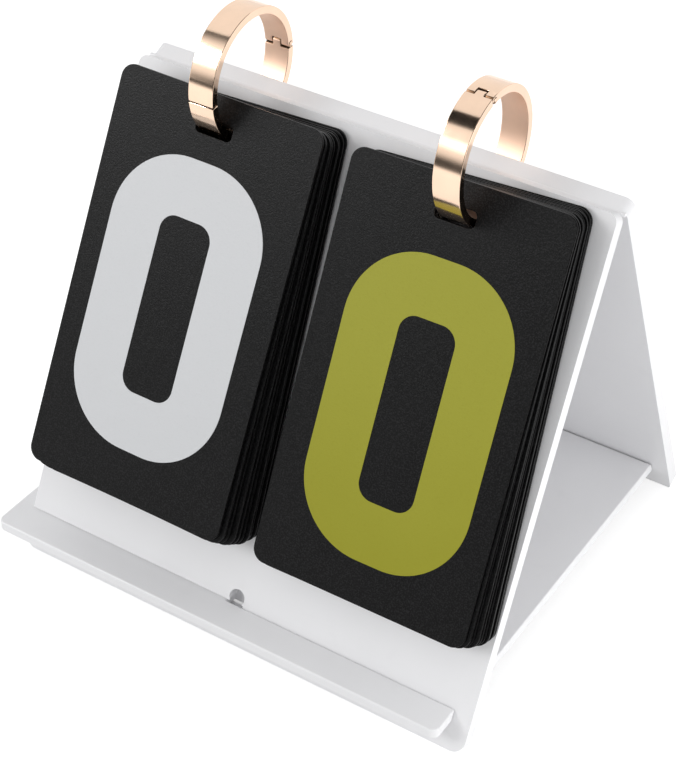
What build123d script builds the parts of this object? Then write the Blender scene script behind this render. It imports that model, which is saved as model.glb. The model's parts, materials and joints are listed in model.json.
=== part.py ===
from build123d import *
import os
from math import cos, radians, sin, sqrt, tan

# Tabletop flip scoreboard: a three-plate A-frame stand with two packs of number cards on two
# hinged rings. Millimetres. X runs along the ridge (to the viewer's right), Y from front to
# back, Z up. The origin is on the table, under the middle of the whole object.

# ---- stand: two leaning plates joined along the ridge by a thin web ----
stand_width = 113.2           # the base plate is as wide
ridge_height = 103.6          # table to the outer top edge of a plate
ridge_depth = 6.8             # between the two outer top edges
plate_lean = 65.0             # degrees from the table
plate_thickness = 3.4
top_corner_radius = 2.0
foot_corner_radius = 3.0
web_thickness = 0.6           # the living hinge between the two plates

# ---- base plate, half-lapped into both leaning plates ----
base_thickness = 2.4
base_top = 8.1                # height of its upper face
ledge_reach = 7.9             # how far it stands out past each leaning plate
base_corner_radius = 2.0
base_offset = 4.0             # short of home: the base is not pushed in all the way
lap_past_middle = 0.5         # each plate slot runs this far past the middle
base_lap_short = 0.4          # each base slot stops this far short of its middle
slot_play = 0.15              # over the base in a plate slot, and under it
slot_hole_radius = 1.9        # the round hole at the end of a plate slot
slot_hole_rise = 1.3          # its centre over the base's upper face, along the slope
lap_clearance = 0.25          # between a leaning plate and its slot in the base

# ---- rings ----
ring_outer_radius = 14.5
ring_thickness = 1.8
ring_width = 6.0
ring_spacing = 56.7           # between the two rings along the ridge
ring_forward = 2.75           # ring centre in front of the front plate's top edge
ring_depth = 6.95             # from the ridge down to the band's inside, at its lowest
left_ring_angle = 6.0         # about X. The left ring's hinge is at the rear, its gate above
right_ring_angle = -80.0      # a mirror image: its hinge is at the top, its gate at the rear
pin_radius = 0.45
pin_clearance = 0.05
knuckle_width = 2.0           # the middle knuckle, of the three
knuckle_gap = 0.1
knuckle_relief = 1.05         # how far the facing half is cut back from the pin
tongue_length = 1.2
tongue_width = 2.4
tongue_thickness = 0.8
tongue_clearance = 0.15

# ---- ring holes in the leaning plates ----
plate_hole_play = 0.3         # above the band where it is highest in a plate
plate_hole_drop = 0.7         # below the band where it is lowest in the front plate
plate_hole_width = 9.0
plate_hole_radius = 2.0

# ---- cards ----
cards_per_pack = 10
card_width = 50.0
card_height = 89.0
card_thickness = 0.6
left_card_pitch = 1.09        # the left pack stands loose, and the right one lies close
right_card_pitch = 0.7
card_corner_radius = 3.0
pack_gap = 1.0                # between the front plate and the last card
card_hole_top = 5.25          # below the card's top edge
card_hole_width = 8.9
card_hole_radius = 1.1
card_hole_drop = 0.7          # below the band
left_card_hang = 0.55         # between the hole's top edge and the band that it hangs on
right_card_hang = 1.2
left_card_shift = 0.85        # the packs hang to one side of the rings' middles
right_card_shift = -0.85
card_stray = 0.2              # and each card strays a little to either side of that
left_front_swing_angle = -0.7     # a pack fans out: each card hangs turned in its own plane,
left_rear_swing_angle = 2.0       # its foot to the right, and the rear ones most
right_front_swing_angle = 0.6
right_rear_swing_angle = 3.0

# ---- printed numerals ----
ink_thickness = 0.06
numeral_width = 37.8
numeral_height = 64.2
numeral_stroke = 12.55
numeral_bend = 9.9            # radius of the stroke's middle line
left_numeral_drop = 1.9       # numeral centre below the card's centre
right_numeral_drop = 3.6
left_numeral_shift = -0.5     # the figures are printed a little off the cards' middle
right_numeral_shift = 0.7

# ---- places worked out from the sizes above ----
lean = radians(plate_lean)
plates_x = base_offset / 2
base_x = -base_offset / 2
plate_length = ridge_height / sin(lean)
ring_middle_radius = ring_outer_radius - ring_thickness / 2
ring_inner_radius = ring_outer_radius - ring_thickness
ring_y = -ridge_depth / 2 - ring_forward
ring_rise = ring_inner_radius - ring_depth
ring_z = ridge_height + ring_rise
ring_x = {
    "left": plates_x - ring_spacing / 2,
    "right": plates_x + ring_spacing / 2,
}
card_pitch = {"left": left_card_pitch, "right": right_card_pitch}
card_shift = {"left": left_card_shift, "right": right_card_shift}
card_hang = {"left": left_card_hang, "right": right_card_hang}
front_swing = {"left": left_front_swing_angle, "right": right_front_swing_angle}
rear_swing = {"left": left_rear_swing_angle, "right": right_rear_swing_angle}
ring_angle = {"left": left_ring_angle, "right": right_ring_angle}
numeral_drop = {"left": left_numeral_drop, "right": right_numeral_drop}
numeral_shift = {"left": left_numeral_shift, "right": right_numeral_shift}


def band_crossing(forward, near, far):
    """How far down its slope a leaning piece meets a ring: the band's inside and its outside.

    The ring's centre stands forward of the piece's top edge. The piece lies between two
    planes, at distances near and far out from the plate's face.
    """
    down = forward * cos(lean) - ring_rise * sin(lean)
    out = forward * sin(lean) + ring_rise * cos(lean)
    furthest = max(abs(near - out), abs(far - out))
    nearest = 0 if near < out < far else min(abs(near - out), abs(far - out))
    inside = down + sqrt(ring_inner_radius**2 - furthest**2)
    outside = down + sqrt(ring_outer_radius**2 - nearest**2)
    return inside, outside


def outer_face(offset=0.0):
    """The front plate's outer face, moved outwards: x along the ridge, y up the slope."""
    normal = Vector(0, -sin(lean), cos(lean))
    edge = Vector(plates_x, -ridge_depth / 2, ridge_height)
    return Plane(origin=edge + normal * offset, x_dir=(1, 0, 0), z_dir=normal)


def rounded(width, height, radius):
    return RectangleRounded(width, height, radius)


def plate_hole(forward):
    """The hole in a leaning plate that a ring runs through.

    Both plates' holes reach as far down, so that the right ring's gate can swing at the rear.
    """
    top = band_crossing(forward, -plate_thickness, 0)[0] - plate_hole_play
    bottom = band_crossing(ring_forward, -plate_thickness, 0)[1] + plate_hole_drop
    hole = rounded(plate_hole_width, bottom - top, plate_hole_radius)
    return Pos(0, -(top + bottom) / 2) * hole


def leaning_plate(forward):
    """The front plate, with two ring holes and, open to the left, the slot for the base.

    Mirrored, it is the rear plate. The rings' centres stand forward of its top edge.
    """
    # drawn past the table and cut off level, so that it stands on a flat foot
    outline = Pos(0, -plate_length / 2) * Rectangle(stand_width, plate_length)
    corners = outline.vertices().group_by(Axis.Y)
    outline = fillet(corners[0], foot_corner_radius)
    outline = fillet(outline.vertices().group_by(Axis.Y)[-1], top_corner_radius)
    for side in ring_x:
        outline -= Pos(ring_x[side] - plates_x, 0) * plate_hole(forward)
    outline -= slot_hole()
    plate = extrude(outer_face() * outline, -plate_thickness)
    below = Pos(plates_x, 0, -ridge_height) * Box(2 * stand_width, 2 * ridge_height, 2 * ridge_height)
    return plate - below - base_slot()


def base_slot():
    """The level room for the base in a leaning plate, from its left edge to past its middle."""
    length = stand_width / 2 + lap_past_middle
    height = base_thickness + 2 * slot_play
    middle = Vector(plates_x + lap_past_middle - length, 0, base_top - base_thickness / 2)
    return Pos(middle) * Box(2 * length, 2 * ridge_height, height)


def slot_hole():
    """The round hole at the end of the slot, square to the plate."""
    down = (ridge_height - base_top) / sin(lean) - slot_hole_rise
    return Pos(lap_past_middle - slot_hole_radius, -down) * Circle(slot_hole_radius)


def hinge_web():
    """Thin strip between the two plates' inner edges: the living hinge under the ridge groove."""
    top_y = ridge_depth / 2 - plate_thickness * sin(lean)
    top_z = ridge_height - plate_thickness * cos(lean)
    bottom_y = top_y + web_thickness / tan(lean)
    bottom_z = top_z - web_thickness
    corners = [(-top_y, top_z), (top_y, top_z), (bottom_y, bottom_z), (-bottom_y, bottom_z)]
    profile = Plane.YZ * make_face(Polyline(*corners, close=True))
    return Pos(plates_x, 0, 0) * extrude(profile, stand_width / 2, both=True)


def plate_y(height):
    """Distance from the middle to a leaning plate's outer face at a height above the table."""
    return ridge_depth / 2 + (ridge_height - height) / tan(lean)


def base_plate():
    """Level plate with a slot, open to the right, round each leaning plate's right half."""
    depth = 2 * (plate_y(base_top) + ledge_reach)
    outline = rounded(stand_width, depth, base_corner_radius)
    plate = Pos(base_x, 0, base_top) * extrude(outline, -base_thickness)
    slot = lap_slot()
    return plate - slot - mirror(slot, about=Plane.XZ)


def lap_slot():
    """The room for the front plate's right half, leaning with it, from the middle to the edge."""
    over = base_top + base_thickness
    under = base_top - 2 * base_thickness
    room = lap_clearance / sin(lean)
    wall = plate_thickness / sin(lean)
    corners = [
        (-plate_y(over) - room, over),
        (-plate_y(over) + wall + room, over),
        (-plate_y(under) + wall + room, under),
        (-plate_y(under) - room, under),
    ]
    profile = Plane.YZ * make_face(Polyline(*corners, close=True))
    start = base_x + base_lap_short
    return Pos(start, 0, 0) * extrude(profile, stand_width)


def card_offset(side, number):
    """Distance from the front plate to the back of a card: card 0 is in front."""
    return pack_gap + (cards_per_pack - 1 - number) * card_pitch[side]


def card_crossing(side, number):
    """Where a ring's band goes through the sheet that a card lies in."""
    back = card_offset(side, number)
    return band_crossing(ring_forward, back, back + card_thickness)


def card_place(side, number):
    """Where a card lies in its plane. It hangs by the top of its hole on the inside of the ring,
    strays a little to one side and is turned about the middle of that top edge."""
    stray = card_stray * sin(2.4 * number)
    top = card_crossing(side, number)[0] - card_hang[side]
    share = 1 - (1 - number / (cards_per_pack - 1)) ** 2
    swing = front_swing[side] + share * (rear_swing[side] - front_swing[side])
    hook = Pos(ring_x[side] - plates_x + card_shift[side] + stray, -top)
    return hook * Rot(0, 0, swing) * Pos(0, card_hole_top - card_height / 2)


def card_outline():
    """Every card is the same sheet. The hole suits the card that the ring crosses most aslant."""
    inside, outside = card_crossing("left", 0)
    height = card_hang["left"] + outside - inside + card_hole_drop
    hole = rounded(card_hole_width, height, card_hole_radius)
    hole_y = card_height / 2 - card_hole_top - height / 2
    return rounded(card_width, card_height, card_corner_radius) - Pos(0, hole_y) * hole


def card(side, number):
    plane = outer_face(card_offset(side, number))
    return extrude(plane * (card_place(side, number) * card_outline()), card_thickness)


def stroke(*points):
    """A printed stroke of the numeral's width along a middle line with bends."""
    line = FilletPolyline(*points, radius=numeral_bend) if len(points) > 2 else Line(*points)
    return trace(line, numeral_stroke)


def loop(width, height, middle=0.0):
    """A closed stroke, its middle line a rounded rectangle."""
    half = numeral_stroke / 2
    outside = rounded(width + 2 * half, height + 2 * half, numeral_bend + half)
    inside = rounded(width - 2 * half, height - 2 * half, numeral_bend - half)
    return Pos(0, middle) * (outside - inside)


def numeral_strokes(number):
    """The strokes of a figure. Their middle lines run on a box with its centre at 0, 0."""
    end = numeral_width / 2
    side = (numeral_width - numeral_stroke) / 2
    top = (numeral_height - numeral_stroke) / 2
    tall = numeral_height / 2
    flag = 0.75 * side
    hook = [(side, 0), (-side, 0)]
    shapes = {
        0: [loop(2 * side, 2 * top)],
        1: [stroke((0, tall), (0, -tall)), stroke((-flag, top), (0, top))],
        2: [stroke((-end, top), (side, top), *hook, (-side, -top), (end, -top))],
        3: [stroke((-end, top), (side, top), (side, -top), (-end, -top)), stroke(*hook)],
        4: [stroke((-side, tall), (-side, 0), (side, 0)), stroke((side, tall), (side, -tall))],
        5: [stroke((end, top), (-side, top), *hook[::-1], (side, -top), (-end, -top))],
        6: [stroke((end, top), (-side, top), (-side, -side)), loop(2 * side, top, -top / 2)],
        7: [stroke((-end, top), (side, top), (side, -tall))],
        8: [loop(2 * side, 2 * top), stroke(*hook)],
        9: [stroke((-end, -top), (side, -top), (side, side)), loop(2 * side, top, top / 2)],
    }
    return shapes[number]


def numeral(side, number):
    """The figure printed on the front of a card, as a layer of ink."""
    figure = Sketch() + numeral_strokes(number)
    print_on = card_place(side, number) * Pos(numeral_shift[side], -numeral_drop[side])
    plane = outer_face(card_offset(side, number) + card_thickness)
    return extrude(plane * (print_on * figure), ink_thickness)


def bar_along_x(radius, low, high):
    """A round bar along X, on the hinge pin's axis of a ring at the origin."""
    plane = Plane(origin=(low, ring_middle_radius, 0), z_dir=(1, 0, 0))
    return extrude(plane * Circle(radius), high - low)


def half_band(upper):
    """The upper or the lower half of the flat band."""
    band = Circle(ring_outer_radius) - Circle(ring_inner_radius)
    height = ring_outer_radius if upper else -ring_outer_radius
    side = Pos(0, height) * Rectangle(3 * ring_outer_radius, 2 * ring_outer_radius)
    return extrude(Plane.YZ * (band & side), ring_width / 2, both=True)


def knuckle(low, high):
    """A round nose about the pin, as thick as the band."""
    return bar_along_x(ring_thickness / 2, low, high)


def relief(low, high):
    """Room in one half for a knuckle of the other."""
    room = Box(high - low, 2 * ring_thickness, 2 * knuckle_relief)
    return Pos((low + high) / 2, ring_middle_radius, 0) * room


def pin_bore():
    return bar_along_x(pin_radius + pin_clearance, -ring_width, ring_width)


def tongue(clearance):
    """The latch tongue on the gate's free end, or with a clearance the socket for it."""
    room = 2 * clearance
    shape = Box(tongue_width + room, tongue_thickness + room, 2 * tongue_length + room)
    return Pos(0, -ring_middle_radius, 0) * shape


def on_stand(side, piece):
    """Turns a piece of a ring with its hinge towards +Y to its place on the stand."""
    if side == "right":
        piece = mirror(piece, about=Plane.XZ)
    return Pos(ring_x[side], ring_y, ring_z) * Rot(ring_angle[side], 0, 0) * piece


def ring_gate(side):
    """The half that opens: two outer knuckles and, at its free end, the latch tongue."""
    gap = knuckle_width / 2 + knuckle_gap
    edge = ring_width / 2
    gate = half_band(upper=True) - relief(-gap, gap)
    gate += knuckle(gap, edge) + knuckle(-edge, -gap)
    gate += tongue(0)
    return on_stand(side, gate - pin_bore())


def ring_half(side):
    """The half that stays in the holes: the middle knuckle and the latch socket."""
    middle = knuckle_width / 2
    edge = ring_width / 2
    half = half_band(upper=False)
    half -= relief(middle, edge) + relief(-edge, -middle)
    half += knuckle(-middle, middle)
    half -= tongue(tongue_clearance)
    return on_stand(side, half - pin_bore())


def ring_pin(side):
    return on_stand(side, bar_along_x(pin_radius, -ring_width / 2, ring_width / 2))


def parts():
    """Every piece under its name."""
    rear = leaning_plate(-ridge_depth - ring_forward)
    pieces = {
        "front_plate": leaning_plate(ring_forward),
        "rear_plate": mirror(rear, about=Plane.XZ),
        "hinge_web": hinge_web(),
        "base_plate": base_plate(),
    }
    for side in ring_x:
        pieces[side + "_ring_half"] = ring_half(side)
        pieces[side + "_ring_gate"] = ring_gate(side)
        pieces[side + "_ring_pin"] = ring_pin(side)
        for number in range(cards_per_pack):
            pieces[f"{side}_card_{number}"] = card(side, number)
            pieces[f"{side}_numeral_{number}"] = numeral(side, number)
    return pieces


os.makedirs("parts", exist_ok=True)
for name, piece in parts().items():
    export_step(piece, f"parts/{name}.step")
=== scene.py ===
import json
from math import cos, pi, radians, sin

import bmesh
import bpy
from mathutils import Matrix, Vector

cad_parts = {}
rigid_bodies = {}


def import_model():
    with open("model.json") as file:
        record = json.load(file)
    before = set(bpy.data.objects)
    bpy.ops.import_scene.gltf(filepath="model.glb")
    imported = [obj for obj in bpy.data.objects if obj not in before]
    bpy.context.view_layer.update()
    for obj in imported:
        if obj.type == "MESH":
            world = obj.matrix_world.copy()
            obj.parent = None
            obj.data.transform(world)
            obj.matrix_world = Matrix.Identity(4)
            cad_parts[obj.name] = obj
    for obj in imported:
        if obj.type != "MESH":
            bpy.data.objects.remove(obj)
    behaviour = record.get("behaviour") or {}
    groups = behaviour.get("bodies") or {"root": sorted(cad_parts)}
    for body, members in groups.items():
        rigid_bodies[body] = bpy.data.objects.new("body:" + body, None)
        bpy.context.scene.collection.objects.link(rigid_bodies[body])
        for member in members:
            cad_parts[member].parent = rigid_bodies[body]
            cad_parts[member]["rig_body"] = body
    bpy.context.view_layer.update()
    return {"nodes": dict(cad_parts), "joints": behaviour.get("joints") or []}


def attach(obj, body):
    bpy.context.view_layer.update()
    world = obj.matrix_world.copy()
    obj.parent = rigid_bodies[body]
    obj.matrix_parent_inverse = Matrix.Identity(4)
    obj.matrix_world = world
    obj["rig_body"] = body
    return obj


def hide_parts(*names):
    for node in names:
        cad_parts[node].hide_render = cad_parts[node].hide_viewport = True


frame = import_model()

MM = 0.001
PACKS = ("left", "right")
CARDS = range(10)
ACROSS, DEEP, UP = range(3)        # the axes: along the ridge, front to back, and height

# ---- the camera, as it stood for the photograph ----
PHOTO_WIDTH = 680
PHOTO_HEIGHT = 757
CAMERA_PLACE = Vector((180.8, -299.9, 304.1)) * MM
CAMERA_AZIMUTH = radians(31.13)
CAMERA_TILT = radians(33.71)
CAMERA_ROLL = radians(1.91)
FOCAL_PIXELS = 1983.0
CENTRE_X = 360.0
CENTRE_Y = 255.0
SENSOR = 36.0

# ---- the studio ----
WORLD_ON_OBJECT = 0.69             # how strongly the surroundings light the object
WORLD_SEEN = 1.0                   # and how they look to the camera and to mirrors
FLOOR_HALF = 3.0
FLOOR_TONES = ((0.79, 0.79, 0.79), (0.81, 0.81, 0.81))
FLOOR_GLOW = 0.5                   # lifts the floor to white, where it is looked at
LAMP_AIM = (0, 0, 0.05)            # the middle of the object
KEY_GLOW = 1.7                     # of the key's soft card, as mirrors show it
SHEEN_GLOW = 19.0                  # of the card whose light gives the sheets their sheen
FELT_MOTTLE = 0.8                  # the darker share of a studio card's own shade

# ---- colours ----
PLASTIC_DULL = (0.86, 0.86, 0.875)
PLASTIC_CLEAR = (0.895, 0.895, 0.91)
PLASTIC_SCUFFED = (0.83, 0.83, 0.845)
SHEET_DEEP = (0.0010, 0.0010, 0.0012)
SHEET_CLOUDED = (0.0018, 0.0018, 0.0020)
SHEET_SPECK = (0.011, 0.011, 0.0115)
WHITE_INK = ((0.655, 0.665, 0.68), (0.62, 0.63, 0.645))      # at a numeral's top and its foot
YELLOW_INK = ((0.335, 0.33, 0.022), (0.275, 0.265, 0.001))
INK_FALL = 80 * MM                 # the height over which one tone gives way to the other
INK_WORN = 0.8                     # the share of its colour that ink keeps in the pores
GOLD_POLISHED = (0.90, 0.665, 0.50)
GOLD_SATIN = (0.88, 0.63, 0.48)
# painted shade: a dark gold for the band's ends, gaps and the middle of each knuckle's nose,
# where they should look shaded
GOLD_DARKENED_AS_SHADE = (0.16, 0.09, 0.05)
GOLD_BRIGHTER = 1.05               # of the metal's colour, where it has less haze

# ---- how soft the real edges are ----
PLATE_EDGE = 0.35 * MM
CARD_EDGE = 0.12 * MM
RING_EDGE = 0.28 * MM
SHARP = radians(35)                # an edge that bends more than this is softened
WELD = 0.002 * MM                  # points nearer than this are one point
FLAT = radians(0.4)                # faces that bend less than this are one face

# ---- the rings: flat bands of two halves, hinged at one end and latched at the other ----
RING_OUTSIDE = 14.5 * MM
BAND_THICKNESS = 1.8 * MM
BAND_WIDTH = 6.0 * MM
RING_MIDDLE = RING_OUTSIDE - BAND_THICKNESS / 2
RING_INSIDE = RING_OUTSIDE - BAND_THICKNESS
RING_TURN = {"left": radians(6), "right": radians(-80)}
NOTCH = 1.1 * MM                   # half the width of the gate's notch for the middle knuckle
MIDDLE_KNUCKLE = 1.0 * MM          # and half that knuckle's own width
KNUCKLE_ROOM = 0.98 * MM           # from the pin back to the facing half
PIN_PLACE = Vector((RING_MIDDLE, 0))
PIN = 0.45 * MM
PIN_BORE = 0.5 * MM
PIN_HEAD = 0.12 * MM               # how far each end of the pin stands proud
PIN_DOME = ((1.0, 0.35), (0.6, 0.75), (0.0, 1.0))            # shares of that and of its radius
LATCH_SEAM = 0.14 * MM             # how far each half stops short of the other
TONGUE_HALF_WIDTH = 1.2 * MM
TONGUE_HALF_DEPTH = 0.4 * MM
TONGUE_REACH = 1.1 * MM
TONGUE_ROOM = 0.15 * MM
POLISHED, SATIN, PAINTED_SHADE = range(3)    # the band's finishes: outside and rims, inside, and painted shade on the ends, gaps and knuckle noses
NOSE_POLISHED = 1 / 6              # up to here a knuckle's nose has the outside's polish
NOSE_SHADE_ENDS = 5 / 6                   # up to here it is painted dark as shade, and from here on it has the inside's satin
ARC_STEPS = 84
SHOULDER_STEPS = 4
NOSE_STEPS = 12
PIN_STEPS = 24

# ---- a colour Mix node's own sockets, which share their names with others ----
MIX_FIRST, MIX_SECOND, MIX_RESULT = 6, 7, 2


class Value:
    """A number that changes over a surface. Arithmetic on it adds Math nodes."""

    def __init__(self, nodes, socket):
        self.nodes = nodes
        self.socket = socket

    def _math(self, operation, other):
        return self.nodes.node("Math", {"operation": operation}, {0: self, 1: other})

    def __add__(self, other):
        return self._math("ADD", other)

    def __mul__(self, other):
        return self._math("MULTIPLY", other)

    __radd__ = __add__
    __rmul__ = __mul__

    def ramp(self, low, high):
        """0 up to low and 1 from high on, smooth between."""
        settings = {"interpolation_type": "SMOOTHSTEP"}
        sockets = {"Value": self, "From Min": low, "From Max": high, "To Min": 0.0, "To Max": 1.0}
        return self.nodes.node("MapRange", settings, sockets)


class Nodes:
    """The nodes of a material or of the world."""

    def __init__(self, tree):
        self.tree = tree

    def node(self, kind, settings, sockets, result=0):
        """Adds a node: its settings, then a value or a link for each socket. Gives a result."""
        made = self.tree.nodes.new("ShaderNode" + kind)
        for key, value in settings.items():
            setattr(made, key, value)
        for key, value in sockets.items():
            self.feed(made.inputs[key], value)
        return Value(self, made.outputs[result])

    def feed(self, socket, value):
        if isinstance(value, Value):
            self.tree.links.new(value.socket, socket)
        else:
            socket.default_value = value

    def looked_at(self):
        """1 where the camera or a mirror looks, and 0 for the light that falls on things."""
        camera = self.node("LightPath", {}, {}, "Is Camera Ray")
        mirror = self.node("LightPath", {}, {}, "Is Glossy Ray")
        return self.node("Math", {"operation": "MAXIMUM"}, {0: camera, 1: mirror})


class Finish(Nodes):
    """A surface finish: one Principled shader and the nodes that feed it."""

    def __init__(self, name, **constants):
        self.material = bpy.data.materials.new(name)
        self.material.use_nodes = True
        super().__init__(self.material.node_tree)
        self.shader = self.tree.nodes["Principled BSDF"]
        for socket, value in constants.items():
            self.shader.inputs[socket.replace("_", " ")].default_value = value

    def place(self):
        """Where a point of the piece is, in metres, in the object's own frame."""
        return self.node("TexCoord", {}, {}, "Object")

    def along(self, axis):
        """How far along one axis that point is."""
        return self.node("SeparateXYZ", {}, {"Vector": self.place()}, axis)

    def noise(self, size, detail=2.0, roughness=0.5, stretch=(1, 1, 1)):
        """Soft noise whose blotches are about size across."""
        scale = [factor / size for factor in stretch]
        place = self.node("Mapping", {}, {"Vector": self.place(), "Scale": scale})
        sockets = {"Vector": place, "Scale": 1.0, "Detail": detail, "Roughness": roughness}
        return self.node("TexNoise", {}, sockets)

    def mix(self, factor, first, second):
        """A colour between two others."""
        sockets = {"Factor": factor, MIX_FIRST: colour(first), MIX_SECOND: colour(second)}
        return self.node("Mix", {"data_type": "RGBA"}, sockets, MIX_RESULT)

    def bump(self, height, depth, strength):
        """Lets a height from 0 to 1, over a depth in metres, catch the light."""
        sockets = {"Strength": strength, "Distance": depth, "Height": height}
        self.set("Normal", self.node("Bump", {}, sockets))

    def set(self, socket, value):
        self.feed(self.shader.inputs[socket], value)


def colour(value):
    """A colour given as three numbers gets its alpha; a socket stays as it is."""
    return value if isinstance(value, Value) else (*value, 1.0)


def darker(tone, share):
    return [share * value for value in tone]


# ---- finishes ----

def white_plastic():
    """Moulded white plastic with a satin skin: faint flow marks and a very fine mould grain."""
    finish = Finish("white_plastic", IOR=1.49, Specular_IOR_Level=0.45)
    flow = finish.noise(38 * MM, detail=3.0, stretch=(1, 1, 0.4))
    grain = finish.noise(0.35 * MM)
    scuff = finish.noise(6 * MM, detail=5.0, roughness=0.65).ramp(0.56, 0.78)
    skin = finish.mix(flow.ramp(0.3, 0.7), PLASTIC_DULL, PLASTIC_CLEAR)
    finish.set("Base Color", finish.mix(scuff * 0.35, skin, PLASTIC_SCUFFED))
    finish.set("Roughness", 0.36 + flow * 0.08 + scuff * 0.1)
    finish.bump(grain + flow * 0.6, depth=0.012 * MM, strength=0.35)
    return finish.material


def black_card():
    """Black plastic sheet with a fine leathery grain that breaks up its sheen."""
    finish = Finish("black_card", IOR=1.5, Specular_IOR_Level=0.15)
    pores = finish.noise(0.3 * MM, roughness=0.55)
    cloud = finish.noise(14 * MM, detail=3.0)
    speck = pores.ramp(0.45, 0.65)
    tone = finish.mix(cloud.ramp(0.3, 0.7), SHEET_DEEP, SHEET_CLOUDED)
    finish.set("Base Color", finish.mix(speck, tone, SHEET_SPECK))
    finish.set("Roughness", 0.36 + pores * 0.1)
    finish.bump(pores, depth=0.07 * MM, strength=0.8)
    return finish.material


def ink(name, upper, lower):
    """Matte screen print that follows the grain of the card under it."""
    finish = Finish(name, IOR=1.45, Specular_IOR_Level=0.35)
    pores = finish.noise(0.55 * MM, detail=3.0, roughness=0.6)
    cloud = finish.noise(22 * MM)
    fall = (finish.along(UP) * (1 / INK_FALL) + cloud * 0.3).ramp(0.1, 1.25)
    tone = finish.mix(fall, lower, upper)
    worn = pores.ramp(0.56, 0.7) * 0.12
    finish.set("Base Color", finish.mix(worn, tone, darker(lower, INK_WORN)))
    finish.set("Roughness", 0.5 + pores * 0.15)
    finish.bump(pores, depth=0.05 * MM, strength=0.45)
    return finish.material


def rose_gold(name, metal, polish, wave):
    """Rose-gold plate: faint polishing lines round the band and a little handling haze."""
    finish = Finish(name, Metallic=1.0)
    haze = finish.noise(5 * MM, detail=3.0)
    lines = finish.noise(0.35 * MM, stretch=(1, 0.05, 0.05))
    bright = [min(1.0, GOLD_BRIGHTER * value) for value in metal]
    finish.set("Base Color", finish.mix(haze.ramp(0.35, 0.7), metal, bright))
    finish.set("Roughness", polish + haze * 0.06 + lines * 0.03)
    finish.bump(haze + lines * 0.1, depth=wave, strength=0.2)
    return finish.material


def studio_floor():
    """A plain pale table. The camera and mirrors see it white, with the object's shadow."""
    finish = Finish("studio_floor", Roughness=0.9, Specular_IOR_Level=0.1)
    finish.set("Base Color", finish.mix(finish.noise(3 * MM), *FLOOR_TONES))
    lit = Value(finish, finish.shader.outputs[0])
    glow = finish.node("Emission", {}, {"Strength": FLOOR_GLOW})
    white = finish.node("AddShader", {}, {0: lit, 1: glow})
    table = finish.node("MixShader", {}, {0: finish.looked_at(), 1: lit, 2: white})
    finish.feed(finish.tree.nodes["Material Output"].inputs["Surface"], table)
    return finish.material


def felt(name, shade, glow, fades):
    """A studio card's face: dark or glowing, and see-through where a fade says so."""
    finish = Finish(name, Roughness=1.0, Specular_IOR_Level=0.0, Emission_Strength=glow)
    tone = [shade] * 3
    mottle = finish.noise(20 * MM)
    finish.set("Base Color", finish.mix(mottle, tone, darker(tone, FELT_MOTTLE)))
    cover = 1.0
    for axis, gone, whole in fades:
        cover = finish.along(axis).ramp(gone, whole) * cover
    finish.set("Alpha", cover)
    return finish.material


# ---- pieces ----

def put(name, data):
    """Adds an object to the scene."""
    thing = bpy.data.objects.new(name, data)
    bpy.context.scene.collection.objects.link(thing)
    return thing


def make_piece(shape, name, materials):
    """Turns a drawn shape into a smooth piece, its normals outwards."""
    bmesh.ops.recalc_face_normals(shape, faces=shape.faces)
    mesh = bpy.data.meshes.new(name)
    shape.to_mesh(mesh)
    shape.free()
    for material in materials:
        mesh.materials.append(material)
    for face in mesh.polygons:
        face.use_smooth = True
    return put(name, mesh)


def soften(piece, width, steps=3):
    """Rounds a piece's sharp edges a little, and keeps its flat faces flat in the light."""
    bevel = piece.modifiers.new("soft_edges", "BEVEL")
    bevel.width = width
    bevel.segments = steps
    bevel.limit_method = "ANGLE"
    bevel.angle_limit = SHARP
    bevel.use_clamp_overlap = True
    normals = piece.modifiers.new("flat_faces", "WEIGHTED_NORMAL")
    normals.weight = 100


def softened(node, width, material, steps=3):
    """The frame's own piece with soft edges, as moulded or cut sheets have."""
    source = frame["nodes"][node]
    shape = bmesh.new()
    shape.from_mesh(source.data)
    bmesh.ops.remove_doubles(shape, verts=shape.verts, dist=WELD)
    bmesh.ops.dissolve_limit(shape, angle_limit=FLAT, verts=shape.verts, edges=shape.edges)
    piece = make_piece(shape, node + "_finished", (material,))
    soften(piece, width, steps)
    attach(piece, source["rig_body"])
    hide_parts(node)
    return piece


def paint(node, material):
    """A piece whose shape is already right only takes its finish."""
    mesh = frame["nodes"][node].data
    mesh.materials.clear()
    mesh.materials.append(material)


def dress_stand(material):
    for node in ("front_plate", "rear_plate", "base_plate"):
        softened(node, PLATE_EDGE, material)
    paint("hinge_web", material)


def dress_packs(card, inks):
    for side in PACKS:
        for number in CARDS:
            softened(f"{side}_card_{number}", CARD_EDGE, card, steps=2)
            paint(f"{side}_numeral_{number}", inks[side])


# ---- rings ----

class Band:
    """The mesh of one half of a ring, drawn with the hinge towards +Y.

    A point is told by its x, by how far it is along from the ring's centre towards the hinge,
    and by how far out it is from the level of both: up in the gate, down in the fixed half.
    """

    def __init__(self, over):
        self.mesh = bmesh.new()
        self.way = 1 if over else -1
        self.corners = {}
        self.finish = POLISHED

    def point(self, x, along, out):
        key = tuple(round(value * 1e6) for value in (x, along, out))
        if key not in self.corners:
            self.corners[key] = self.mesh.verts.new((x, along, self.way * out))
        return self.corners[key]

    def face(self, *places):
        face = self.mesh.faces.new([self.point(*place) for place in places])
        face.material_index = self.finish


def round_ring(angle, radius):
    return radius * cos(angle), radius * sin(angle)


def arc_outline(angles, radius):
    return [round_ring(angle, radius) for angle in angles]


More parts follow.
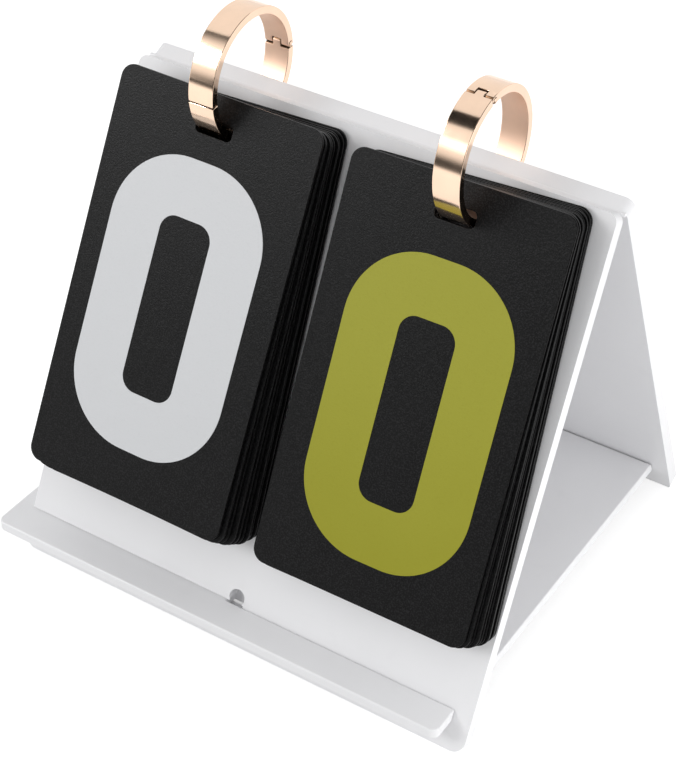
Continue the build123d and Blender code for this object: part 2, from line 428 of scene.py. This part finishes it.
def finger_outline(start):
    """The side view of a knuckle, from the band's outside round the nose to its inside."""
    shares = [step / SHOULDER_STEPS for step in range(SHOULDER_STEPS)]
    outer = arc_outline([start * (1 - share) for share in shares], RING_OUTSIDE)
    nose = []
    for step in range(NOSE_STEPS + 1):
        turn = -pi * step / NOSE_STEPS
        nose.append(tuple(PIN_PLACE + BAND_THICKNESS / 2 * Vector((cos(turn), sin(turn)))))
    inner = arc_outline([start * share for share in shares[1:]] + [start], RING_INSIDE)
    return outer + nose + inner + [round_ring(start, RING_MIDDLE)]


def bore_outline(outline):
    """The pin's bore, with a point for each point of the knuckle's outline."""
    ways = [(Vector(point) - PIN_PLACE).normalized() for point in outline]
    return [tuple(PIN_PLACE + PIN_BORE * way) for way in ways]


def build_finger(band, low, high, start):
    """A knuckle from x low to high, with the pin's bore through it.

    The outline's last two steps are where it grows from the band, and get no face.
    """
    outline = finger_outline(start)
    bore = bore_outline(outline)
    count = len(outline)
    for step in range(count):
        a, b = outline[step], outline[(step + 1) % count]
        c, d = bore[step], bore[(step + 1) % count]
        share = (step - SHOULDER_STEPS) / NOSE_STEPS
        # Past a thin polished lip, the middle of the nose takes the painted shade in place of the
        # glint it would catch; its inner end has the satin.
        band.finish = POLISHED if share < NOSE_POLISHED else PAINTED_SHADE if share < NOSE_SHADE_ENDS else SATIN
        if step < count - 2:
            band.face((low, *a), (low, *b), (high, *b), (high, *a))
        # The bore, and the knuckle's sides that face a notch, take the painted shade.
        band.finish = PAINTED_SHADE
        band.face((low, *c), (low, *d), (high, *d), (high, *c))
        for x in (low, high):
            band.finish = POLISHED if abs(x) == BAND_WIDTH / 2 else PAINTED_SHADE
            band.face((x, *a), (x, *b), (x, *d), (x, *c))


def build_arc(band, stops, start, end):
    """The band from one end to the other, in strips between the x stops."""
    angles = [start + (end - start) * step / ARC_STEPS for step in range(ARC_STEPS + 1)]
    for first, second in zip(angles, angles[1:]):
        for radius, finish in ((RING_OUTSIDE, POLISHED), (RING_INSIDE, SATIN)):
            band.finish = finish
            a, b = round_ring(first, radius), round_ring(second, radius)
            for low, high in zip(stops, stops[1:]):
                band.face((low, *a), (low, *b), (high, *b), (high, *a))
        band.finish = POLISHED
        rim = arc_outline((first, second), RING_OUTSIDE)
        rim += arc_outline((second, first), RING_INSIDE)
        if first == start:
            rim.append(round_ring(first, RING_MIDDLE))
        for x in (stops[0], stops[-1]):
            band.face(*[(x, *corner) for corner in rim])


def build_notch(band, low, high, start):
    """The flat end of a strip that has no knuckle."""
    corners = [round_ring(start, radius) for radius in (RING_OUTSIDE, RING_MIDDLE, RING_INSIDE)]
    back = [(high, *corner) for corner in corners[::-1]]
    band.face(*[(low, *corner) for corner in corners], *back)


def build_latch(band, stops, end, reach, room):
    """The latched end: a tongue that stands out, or with a negative reach its socket."""
    wide = TONGUE_HALF_WIDTH + room
    deep = TONGUE_HALF_DEPTH + room
    outer, inner = round_ring(end, RING_OUTSIDE), round_ring(end, RING_INSIDE)
    high, low = round_ring(end, RING_MIDDLE + deep), round_ring(end, RING_MIDDLE - deep)
    band.face(*[(x, *outer) for x in stops], (wide, *high), (-wide, *high))
    band.face(*[(x, *inner) for x in stops], (wide, *low), (-wide, *low))
    for side, x in ((-1, stops[0]), (1, stops[-1])):
        band.face((x, *outer), (x, *inner), (side * wide, *low), (side * wide, *high))
    ahead = Vector((-sin(end), cos(end))) * reach
    rim = [(-wide, *high), (wide, *high), (wide, *low), (-wide, *low)]
    tip = [(x, along + ahead.x, out + ahead.y) for x, along, out in rim]
    for step in range(len(rim)):
        band.face(rim[step], rim[step - 1], tip[step - 1], tip[step])
    band.face(*tip)


def build_half(over):
    """One half of a ring: the gate, over the top, or the half that stays in the holes."""
    band = Band(over)
    edge = BAND_WIDTH / 2
    split = NOTCH if over else MIDDLE_KNUCKLE
    stops = [-edge, -split, split, edge]
    start = KNUCKLE_ROOM / RING_MIDDLE
    end = pi - LATCH_SEAM / RING_MIDDLE
    build_arc(band, stops, start, end)
    for strip, (low, high) in enumerate(zip(stops, stops[1:])):
        if over == (strip != 1):
            build_finger(band, low, high, start)
        else:
            # a notch's flat end takes the painted shade
            band.finish = PAINTED_SHADE
            build_notch(band, low, high, start)
    # and so do the latch's tongue and its socket, to make the seam look shaded
    band.finish = PAINTED_SHADE
    if over:
        build_latch(band, stops, end, TONGUE_REACH, 0)
    else:
        build_latch(band, stops, end, -TONGUE_REACH - TONGUE_ROOM, TONGUE_ROOM)
    return band.mesh


def place_on_ring(side):
    """From a ring drawn with its hinge towards +Y to its place on the stand.

    The right ring is turned the other way round, front to back.
    """
    spin = next(j for j in frame["joints"] if j["name"] == side + "_ring_spin")
    matrix = Matrix.Translation(spin["pos_m"]) @ Matrix.Rotation(RING_TURN[side], 4, "X")
    if side == "right":
        matrix = matrix @ Matrix.Scale(-1, 4, (0, 1, 0))
    return matrix


def ring_band(side, part, finishes):
    """A half of a ring, its outside and rims polished, its inside satin, and its ends, gaps and
    knuckle noses painted dark as shade.
    """
    shape = build_half(over=part == "gate")
    bmesh.ops.transform(shape, matrix=place_on_ring(side), verts=shape.verts)
    node = f"{side}_ring_{part}"
    piece = make_piece(shape, node + "_finished", finishes)
    soften(piece, RING_EDGE)
    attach(piece, frame["nodes"][node]["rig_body"])
    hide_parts(node)


def ring_pin(side, polished):
    """The hinge pin, its two ends a little domed and proud of the band."""
    shape = bmesh.new()
    half = BAND_WIDTH / 2
    profile = [(-half - proud * PIN_HEAD, wide * PIN) for proud, wide in PIN_DOME]
    profile += [(-x, radius) for x, radius in profile[::-1]]
    turns = [2 * pi * step / PIN_STEPS for step in range(PIN_STEPS)]
    rows = []
    for x, radius in profile:
        circle = [(x, RING_MIDDLE + radius * cos(turn), radius * sin(turn)) for turn in turns]
        rows.append([shape.verts.new(corner) for corner in circle])
    for first, second in zip(rows, rows[1:]):
        for step in range(PIN_STEPS):
            shape.faces.new([first[step - 1], first[step], second[step], second[step - 1]])
    shape.faces.new(rows[0])
    shape.faces.new(rows[-1])
    bmesh.ops.transform(shape, matrix=place_on_ring(side), verts=shape.verts)
    node = side + "_ring_pin"
    piece = make_piece(shape, node + "_finished", (polished,))
    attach(piece, frame["nodes"][node]["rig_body"])
    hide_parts(node)


def dress_rings(finishes):
    for side in PACKS:
        for part in ("half", "gate"):
            ring_band(side, part, finishes)
        ring_pin(side, finishes[POLISHED])


# ---- studio ----

def add_camera():
    """Stands the camera where the photograph was taken from."""
    forward = Vector((
        -sin(CAMERA_AZIMUTH) * cos(CAMERA_TILT),
        cos(CAMERA_AZIMUTH) * cos(CAMERA_TILT),
        -sin(CAMERA_TILT),
    ))
    level = Vector((cos(CAMERA_AZIMUTH), sin(CAMERA_AZIMUTH), 0))
    upward = level.cross(forward)
    right = cos(CAMERA_ROLL) * level + sin(CAMERA_ROLL) * upward
    up = cos(CAMERA_ROLL) * upward - sin(CAMERA_ROLL) * level
    data = bpy.data.cameras.new("camera")
    data.sensor_width = SENSOR
    data.lens = FOCAL_PIXELS / PHOTO_HEIGHT * SENSOR
    data.shift_x = (PHOTO_WIDTH / 2 - CENTRE_X) / PHOTO_HEIGHT
    data.shift_y = (CENTRE_Y - PHOTO_HEIGHT / 2) / PHOTO_HEIGHT
    data.clip_start = 0.01
    data.clip_end = 10
    camera = put("camera", data)
    axes = Matrix((right, up, -forward)).transposed()
    camera.matrix_world = Matrix.Translation(CAMERA_PLACE) @ axes.to_4x4()
    bpy.context.scene.camera = camera


def add_world():
    """Plain white surroundings, a little dimmer as a light than they look."""
    world = bpy.data.worlds.new("studio")
    world.use_nodes = True
    nodes = Nodes(world.node_tree)
    background = world.node_tree.nodes["Background"]
    background.inputs["Color"].default_value = (1, 1, 1, 1)
    levels = {"Value": nodes.looked_at(), "To Min": WORLD_ON_OBJECT, "To Max": WORLD_SEEN}
    nodes.feed(background.inputs["Strength"], nodes.node("MapRange", {}, levels))
    bpy.context.scene.world = world


def flat_card(name, corners, material):
    mesh = bpy.data.meshes.new(name)
    mesh.from_pydata(corners, [], [(0, 1, 2, 3)])
    mesh.materials.append(material)
    return put(name, mesh)


def level_corners(across, deep, height):
    """The corners of a level rectangle, from its reach along each axis."""
    (left, right), (front, rear) = across, deep
    ground = [(left, front), (right, front), (right, rear), (left, rear)]
    return [(x, y, height) for x, y in ground]


def add_floor():
    reach = (-FLOOR_HALF, FLOOR_HALF)
    flat_card("floor", level_corners(reach, reach, 0), studio_floor())


def add_lamp(name, place, size, power, aim=LAMP_AIM, mirrored=True):
    """A soft box that faces the object. Mirrors need not show it."""
    data = bpy.data.lights.new(name, "AREA")
    data.shape = "RECTANGLE"
    data.size, data.size_y = size
    data.energy = power
    lamp = put(name, data)
    lamp.location = place
    lamp.rotation_mode = "QUATERNION"
    lamp.rotation_quaternion = (Vector(place) - Vector(aim)).to_track_quat("Z", "Y")
    lamp.visible_glossy = mirrored


def add_flag(name, corners, shade, fades=(), glow=0.0):
    """A card of the studio that only mirrors show, dark or glowing.

    A fade gives an axis and where along it the card is gone and where it is whole.
    """
    flag = flat_card(name, corners, felt(name + "_felt", shade, glow, fades))
    flag.visible_camera = False
    flag.visible_diffuse = False
    flag.visible_shadow = False
    flag.visible_transmission = False


def hang_lamps():
    """The soft boxes, in metres and watts. The end lamp reaches in between the plates."""
    add_lamp("key", (-0.47, -0.78, 0.58), size=(0.4, 0.3), power=2.5, mirrored=False)
    add_lamp("fill", (0.8, -0.07, 0.2), size=(0.6, 0.3), power=1.3)
    add_lamp("end", (0.2, -0.03, 0.05), size=(0.05, 0.05), power=0.06,
             aim=(0.05, 0.02, 0.04), mirrored=False)
    add_lamp("back", (0.1, 0.7, 0.7), size=(0.8, 0.5), power=0.1)


def hang_bright_cards():
    """The soft glow that the rings mirror in the key's place, and the sheets' own sheen."""
    key = [(-0.70, -0.66, 0.34), (-0.28, -0.92, 0.34),
           (-0.24, -0.84, 0.74), (-0.66, -0.58, 0.74)]
    soft_edges = [(UP, 0.34, 0.56), (UP, 0.74, 0.58)]
    add_flag("key_card", key, shade=1.0, fades=soft_edges, glow=KEY_GLOW)
    sheen = [(-0.86, -0.30, 0.40), (-0.54, -0.70, 0.40),
             (-0.48, -0.64, 0.76), (-0.80, -0.24, 0.76)]
    add_flag("sheen_card", sheen, shade=1.0, glow=SHEEN_GLOW)


def hang_dark_flags():
    """The dark parts of the room, which give the polished rings their bands and edges."""
    overhead = level_corners((-0.31, -0.05), (-0.36, -0.10), 0.65)
    add_flag("overhead_flag", overhead, shade=0.01, fades=[(DEEP, -0.40, -0.30)])
    side = level_corners((-0.62, -0.31), (-0.50, -0.12), 0.65)
    add_flag("side_flag", side, shade=0.02, fades=[(DEEP, -0.36, -0.10)])
    front = [(-1.4, -0.9, 0.0), (0.6, -0.9, 0.0), (0.6, -0.9, 0.34), (-1.4, -0.9, 0.34)]
    soft_edges = [(UP, 0.34, 0.10), (ACROSS, -0.9, -0.4)]
    add_flag("front_flag", front, shade=0.1, fades=soft_edges)
    table = level_corners((-1.2, 0.6), (-1.4, -0.4), 0.003)
    add_flag("table_flag", table, shade=0.1, fades=[(DEEP, -0.4, -0.7)])
    around_camera = [(0.0, -0.46, 0.02), (0.6, -0.22, 0.02),
                     (0.45, -0.08, 0.55), (0.0, -0.32, 0.55)]
    add_flag("camera_flag", around_camera, shade=0.02)
    right = [(0.1, -0.35, 0.7), (0.8, -0.35, 0.5), (0.8, 0.5, 0.5), (0.1, 0.5, 0.7)]
    add_flag("right_flag", right, shade=0.03)
    left = [(-1.1, -0.5, 0.0), (-1.1, 0.4, 0.0), (-1.1, 0.4, 0.8), (-1.1, -0.5, 0.8)]
    add_flag("left_flag", left, shade=0.05)


dress_stand(white_plastic())
dress_packs(black_card(), {
    "left": ink("white_ink", *WHITE_INK),
    "right": ink("yellow_ink", *YELLOW_INK),
})
dress_rings((
    rose_gold("rose_gold", GOLD_POLISHED, polish=0.08, wave=0.006 * MM),
    rose_gold("rose_gold_satin", GOLD_SATIN, polish=0.45, wave=0.02 * MM),
    # the dark gold of the painted shade on the ends, gaps and knuckle noses
    rose_gold("rose_gold_painted_shade", GOLD_DARKENED_AS_SHADE, polish=0.4, wave=0.02 * MM),
))
add_camera()
add_world()
add_floor()
hang_lamps()
hang_bright_cards()
hang_dark_flags()
bpy.context.scene.view_settings.view_transform = "Standard"
